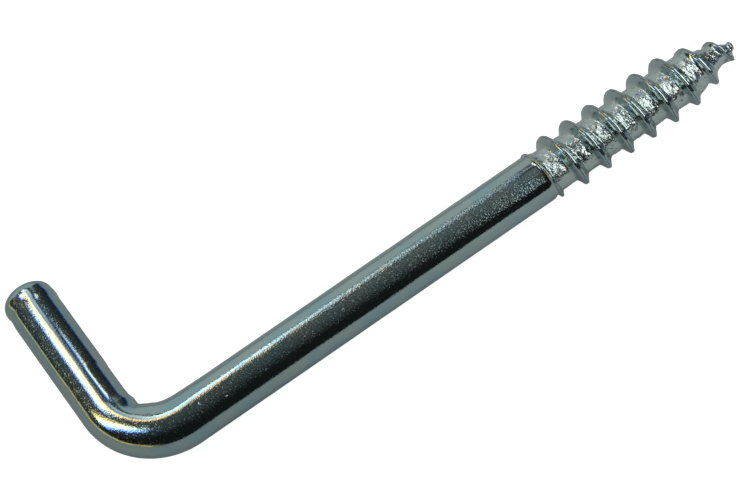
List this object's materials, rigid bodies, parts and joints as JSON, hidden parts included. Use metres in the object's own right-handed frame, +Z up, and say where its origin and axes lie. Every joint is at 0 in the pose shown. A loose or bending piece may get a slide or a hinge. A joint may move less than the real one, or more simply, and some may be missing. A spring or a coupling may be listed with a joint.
{
  "type": "screw-in hinge pin",
  "caption": "Plated steel wire bent square: a short plain pin that a gate eye turns on, and a long shank with a pointed wood-screw thread.",
  "frame": {"origin": "middle of the outline seen from above, at the height of the surface it lies on", "axes": "+Y along the hinge pin towards its free end, +X along the screw towards its tip (which is raised 0.69 degrees, because the thread is thicker than the wire), +Z up"},
  "size_m": [0.08, 0.027, 0.0072],
  "materials": {
    "zinc_plate": "bright zinc plate with a faint blue-grey tint over drawn steel wire"
  },
  "bodies": {
    "root": {"hinge_pin": "zinc_plate"}
  },
  "joints": []
}
